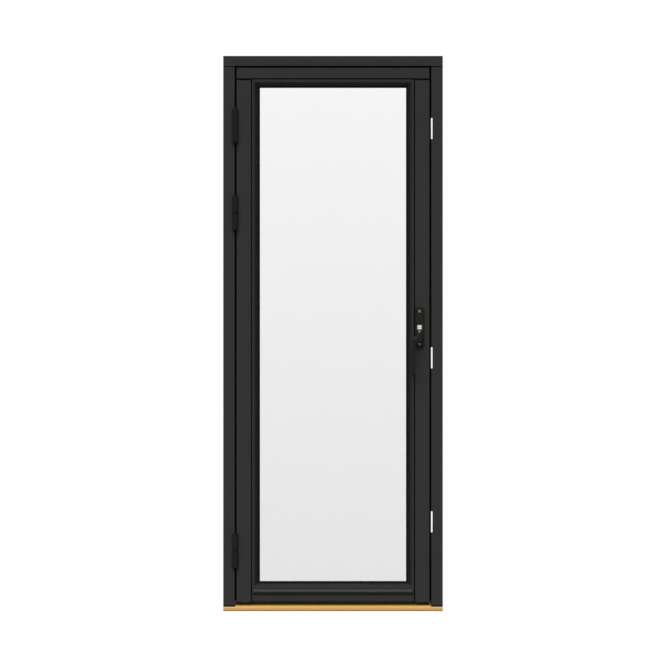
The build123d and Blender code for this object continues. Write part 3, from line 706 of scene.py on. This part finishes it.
handle_black = coated("handle_black", shade(24, 24, 24), gloss=0.38)
dress("handle_backplate", handle_black)

lever_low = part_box("handle_lever")[0]
lever_turn = [joint for joint in frame["joints"] if joint["name"] == "handle_turn"][0]
hub_x, face_y, hub_z = lever_turn["pos_m"]
plate_front = face_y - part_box("handle_backplate")[0].y
hub_radius = 0.012
hub_clearance = 0.0003
collar_radius = 0.0152
collar_height = 0.0062
collar_bevel = 0.0012
neck_start = 0.0144
neck_bend = 0.014
elbow_bend = 0.014
elbow_inset = 0.0015
elbow_drop = 0.012
grip_width = 0.014
grip_thickness = 0.011
grip_end_round = 0.006
grip_x = lever_low.x + grip_width / 2
grip_y = lever_low.y + grip_thickness / 2

# Distances along the lever's middle line, with half its width, half its thickness and how round it is there.
lever_sections = [(0.000, 0.0144, 0.0125, 1.00), (0.012, 0.0142, 0.0105, 1.00),
                  (0.026, 0.0136, 0.0066, 0.85), (0.034, 0.0130, 0.0053, 0.76),
                  (0.044, 0.0106, 0.0053, 0.70), (0.052, 0.0088, 0.0054, 0.66),
                  (0.086, 0.0074, 0.0055, 0.62), (0.170, 0.0064, 0.0053, 0.62)]


def rounded_path(points, radii, steps):
    """Straight runs joined by arcs of the given radii."""
    path = [Vector(points[0])]
    for before, corner, after, radius in zip(points, points[1:], points[2:], radii):
        corner = Vector(corner)
        back = (Vector(before) - corner).normalized()
        on = (Vector(after) - corner).normalized()
        half = back.angle(on) / 2
        centre = corner + (back + on).normalized() * (radius / math.sin(half))
        start = corner + back * (radius / math.tan(half)) - centre
        end = corner + on * (radius / math.tan(half)) - centre
        path += [centre + start.lerp(end, i / steps).normalized() * start.length for i in range(steps + 1)]
    return path + [Vector(points[-1])]


def evenly(path, steps):
    """The same path in equal steps, and its length."""
    runs = [0.0]
    for here, there in zip(path, path[1:]):
        runs.append(runs[-1] + (there - here).length)
    points = []
    for i in range(steps + 1):
        at = runs[-1] * i / steps
        n = min(max(k for k in range(len(runs)) if runs[k] <= at + 1e-9), len(path) - 2)
        points.append(path[n].lerp(path[n + 1], (at - runs[n]) / (runs[n + 1] - runs[n])))
    return points, runs[-1]


def section_at(distance):
    """Half width, half thickness and roundness of the lever there, eased over the listed distances."""
    sizes = [0.0, 0.0, 0.0]
    reaches = (-0.006, -0.003, 0.0, 0.003, 0.006)
    for reach in reaches:
        at = min(max(distance + reach, 0.0), lever_sections[-1][0])
        for near, far in zip(lever_sections, lever_sections[1:]):
            if near[0] <= at <= far[0]:
                share = (at - near[0]) / (far[0] - near[0])
                break
        for k in range(3):
            sizes[k] += (near[k + 1] + (far[k + 1] - near[k + 1]) * share) / len(reaches)
    return sizes


def lever_casting():
    """Neck, elbow and grip as one closed mesh."""
    steps = 96
    around = 28
    bend_steps = 14
    bluntness = 0.02
    route = rounded_path([(hub_x, face_y - neck_start, hub_z), (hub_x, grip_y, hub_z),
                          (grip_x + elbow_inset, grip_y, hub_z - elbow_drop), (grip_x, grip_y, lever_low.z)],
                         (neck_bend, elbow_bend), bend_steps)
    points, length = evenly(route, steps)
    casting = bmesh.new()
    side = Vector((grip_x + elbow_inset - hub_x, 0, -elbow_drop)).cross(Vector((0, 1, 0))).normalized()
    loops = []
    for i, point in enumerate(points):
        along = (points[min(i + 1, steps)] - points[max(i - 1, 0)]).normalized()
        side = (side - along * side.dot(along)).normalized()
        across = along.cross(side)
        left = length * (1 - i / steps)
        wide, thick, roundness = section_at(length - left)
        if left < grip_end_round:
            swell = math.sqrt(max(bluntness, 1 - ((grip_end_round - left) / grip_end_round) ** 2))
            wide, thick = wide * swell, thick * swell
        loop = []
        for k in range(around):
            angle = 2 * math.pi * k / around
            c, s = math.cos(angle), math.sin(angle)
            loop.append(casting.verts.new(point + side * wide * math.copysign(abs(c) ** roundness, c)
                                          + across * thick * math.copysign(abs(s) ** roundness, s)))
        loops.append(loop)
    for here, there in zip(loops, loops[1:]):
        for k in range(around):
            j = (k + 1) % around
            casting.faces.new((here[k], here[j], there[j], there[k]))
    casting.faces.new(loops[0][::-1])
    casting.faces.new(loops[-1])
    bmesh.ops.recalc_face_normals(casting, faces=casting.faces)
    return meshed("lever_bar", casting)


collar_foot = plate_front + hub_clearance
collar_top = plate_front + collar_height
bevel_middle = 0.3 * collar_bevel
hub = turned("lever_hub", [(0, hub_clearance), (hub_radius, hub_clearance), (hub_radius, collar_foot),
                           (collar_radius, collar_foot), (collar_radius, collar_top - collar_bevel),
                           (collar_radius - bevel_middle, collar_top - bevel_middle),
                           (collar_radius - collar_bevel, collar_top), (0, collar_top)], steps=56)
hub = placed("lever_hub", hub, [((hub_x, face_y, hub_z), (0, -1, 0), 0)])
joined = bmesh.new()
joined.from_mesh(lever_casting())
joined.from_mesh(hub)
lever = mesh_object("lever", meshed("lever", joined), "handle", handle_black,
                    smooth=math.radians(50))
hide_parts("handle_lever")

yellow_zinc = drawn("yellow_zinc_screw", shade(126, 104, 62), (260, 260, 260), gloss=0.34, depth=0.00001)
screw_low, screw_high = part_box("handle_screws")
screw_x = (screw_low.x + screw_high.x) / 2
head_radius = (screw_high.x - screw_low.x) / 2
spindle_screw_pitch = 0.043
handle_screw = cross_screw("handle_screw", radius=head_radius, dome=0.0007, shank_radius=0.002, length=0.034)
lowest = screw_low.z + head_radius
screw_heights = ((lowest, 12), (lowest + spindle_screw_pitch, 40), (screw_high.z - head_radius, 71))
places = [((screw_x, screw_low.y, height), (0, -1, 0), turn) for height, turn in screw_heights]
screws = placed("backplate_screws", handle_screw, places)
screws = mesh_object("backplate_screws", screws, "leaf", yellow_zinc)
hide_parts("handle_screws")


# Child lock: a square push button in the backplate, of brass with a satin chrome face. Its bevelled edge
# and the small socket in its middle are bead-blasted and rougher, and painted darker than the face as painted
# shade.

button_low, button_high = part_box("child_lock_button")
button_middle = (button_low + button_high) / 2
face_half_width = 0.006
socket_radius = 0.0023
blast_edge = 0.0001
chrome_grey = shade(216, 216, 218)
painted_shade_grey = shade(140, 141, 143)
satin_chrome, tree, shader = finish_material("satin_chrome")
from_middle = vector_maths(tree, "SUBTRACT", place_on(tree), button_middle)
flat = vector_maths(tree, "MULTIPLY", from_middle, (1, 0, 1))
sides = axes(tree, vector_maths(tree, "ABSOLUTE", flat))
from_edge = maths(tree, "MAXIMUM", sides["X"], sides["Z"])
distance = add(tree, "VectorMath", {0: flat}, operation="LENGTH").outputs["Value"]
bevel = ranged(tree, from_edge, face_half_width - blast_edge, face_half_width + blast_edge)
socket = ranged(tree, distance, socket_radius - blast_edge, socket_radius + blast_edge, 1.0, 0.0)
# Painted shade: the bevel and socket get a darker grey as well as more roughness.
blasted_and_shaded = maths(tree, "MAXIMUM", bevel, socket)
surface = use(tree, drawn_metal, Place=place_on(tree), Metal=chrome_grey, Lines=(1500, 1500, 60), Gloss=0.28)
grit = noise(tree, place_on(tree), 2.0, 0.5, scale=3000.0)
fill(tree, shader, {"Base Color": blended(tree, blasted_and_shaded, surface["Colour"], painted_shade_grey),
                    "Roughness": ranged(tree, blasted_and_shaded, 0, 1, 0.32, 0.55), "Metallic": 1.0})
bumped(tree, shader, blended(tree, blasted_and_shaded, surface["Height"], grit), depth=0.00001)
dress("child_lock_button", satin_chrome)


# Studio: a pale floor, one large soft lamp from the upper left and an even pale surround. The camera looks
# straight at the room side without perspective, as the photograph does.

def seen_directly(tree):
    """1 where the camera, a reflection or the glass looks, and 0 for light from surface to surface."""
    rays = add(tree, "LightPath").outputs
    seen = maths(tree, "MAXIMUM", rays["Is Camera Ray"], rays["Is Glossy Ray"])
    return maths(tree, "MAXIMUM", seen, rays["Is Transmission Ray"])


floor_reach = 20
floor_corners = [(-floor_reach, -floor_reach, 0), (floor_reach, -floor_reach, 0),
                 (floor_reach, floor_reach, 0), (-floor_reach, floor_reach, 0)]
floor_mesh = bpy.data.meshes.new("floor")
floor_mesh.from_pydata(floor_corners, [], [(0, 1, 2, 3)])
floor = bpy.data.objects.new("floor", floor_mesh)
bpy.context.scene.collection.objects.link(floor)
floor_white, tree, shader = finish_material("floor_white")
floor_pale = (0.80, 0.80, 0.80, 1)
floor_dull = (0.76, 0.76, 0.76, 1)
floor_for_light = (0.3, 0.3, 0.3, 1)
mottle = blended(tree, noise(tree, place_on(tree), 3.0, 0.5, scale=2.0), floor_dull, floor_pale)
mottle = blended(tree, seen_directly(tree), floor_for_light, mottle)
fill(tree, shader, {"Base Color": mottle, "Roughness": 0.8})
floor_mesh.materials.append(floor_white)

surround = bpy.data.worlds.new("surround")
bpy.context.scene.world = surround
surround.use_nodes = True
tree = surround.node_tree
soft_fill = 0.20
fill(tree, tree.nodes["Background"], {"Color": (1, 1, 1, 1),
                                      "Strength": ranged(tree, seen_directly(tree), 0, 1, soft_fill, 1.0)})

towards_lamp = Vector((-0.16, -1.0, 1.0))
lamp_data = bpy.data.lights.new("key_lamp", "SUN")
lamp_data.energy = 3.5
lamp_data.angle = math.radians(50)
lamp = bpy.data.objects.new("key_lamp", lamp_data)
lamp.rotation_euler = towards_lamp.to_track_quat("Z", "Y").to_euler()
bpy.context.scene.collection.objects.link(lamp)

photo_width = 2.3777
photo_middle = (-0.0018, 0.9961)
camera_distance = 4.0
camera_data = bpy.data.cameras.new("camera")
camera_data.type = "ORTHO"
camera_data.ortho_scale = photo_width
camera = bpy.data.objects.new("camera", camera_data)
camera.location = (photo_middle[0], -camera_distance, photo_middle[1])
camera.rotation_euler = (math.radians(90), 0, 0)
bpy.context.scene.collection.objects.link(camera)
bpy.context.scene.camera = camera
bpy.context.scene.view_settings.view_transform = "Standard"
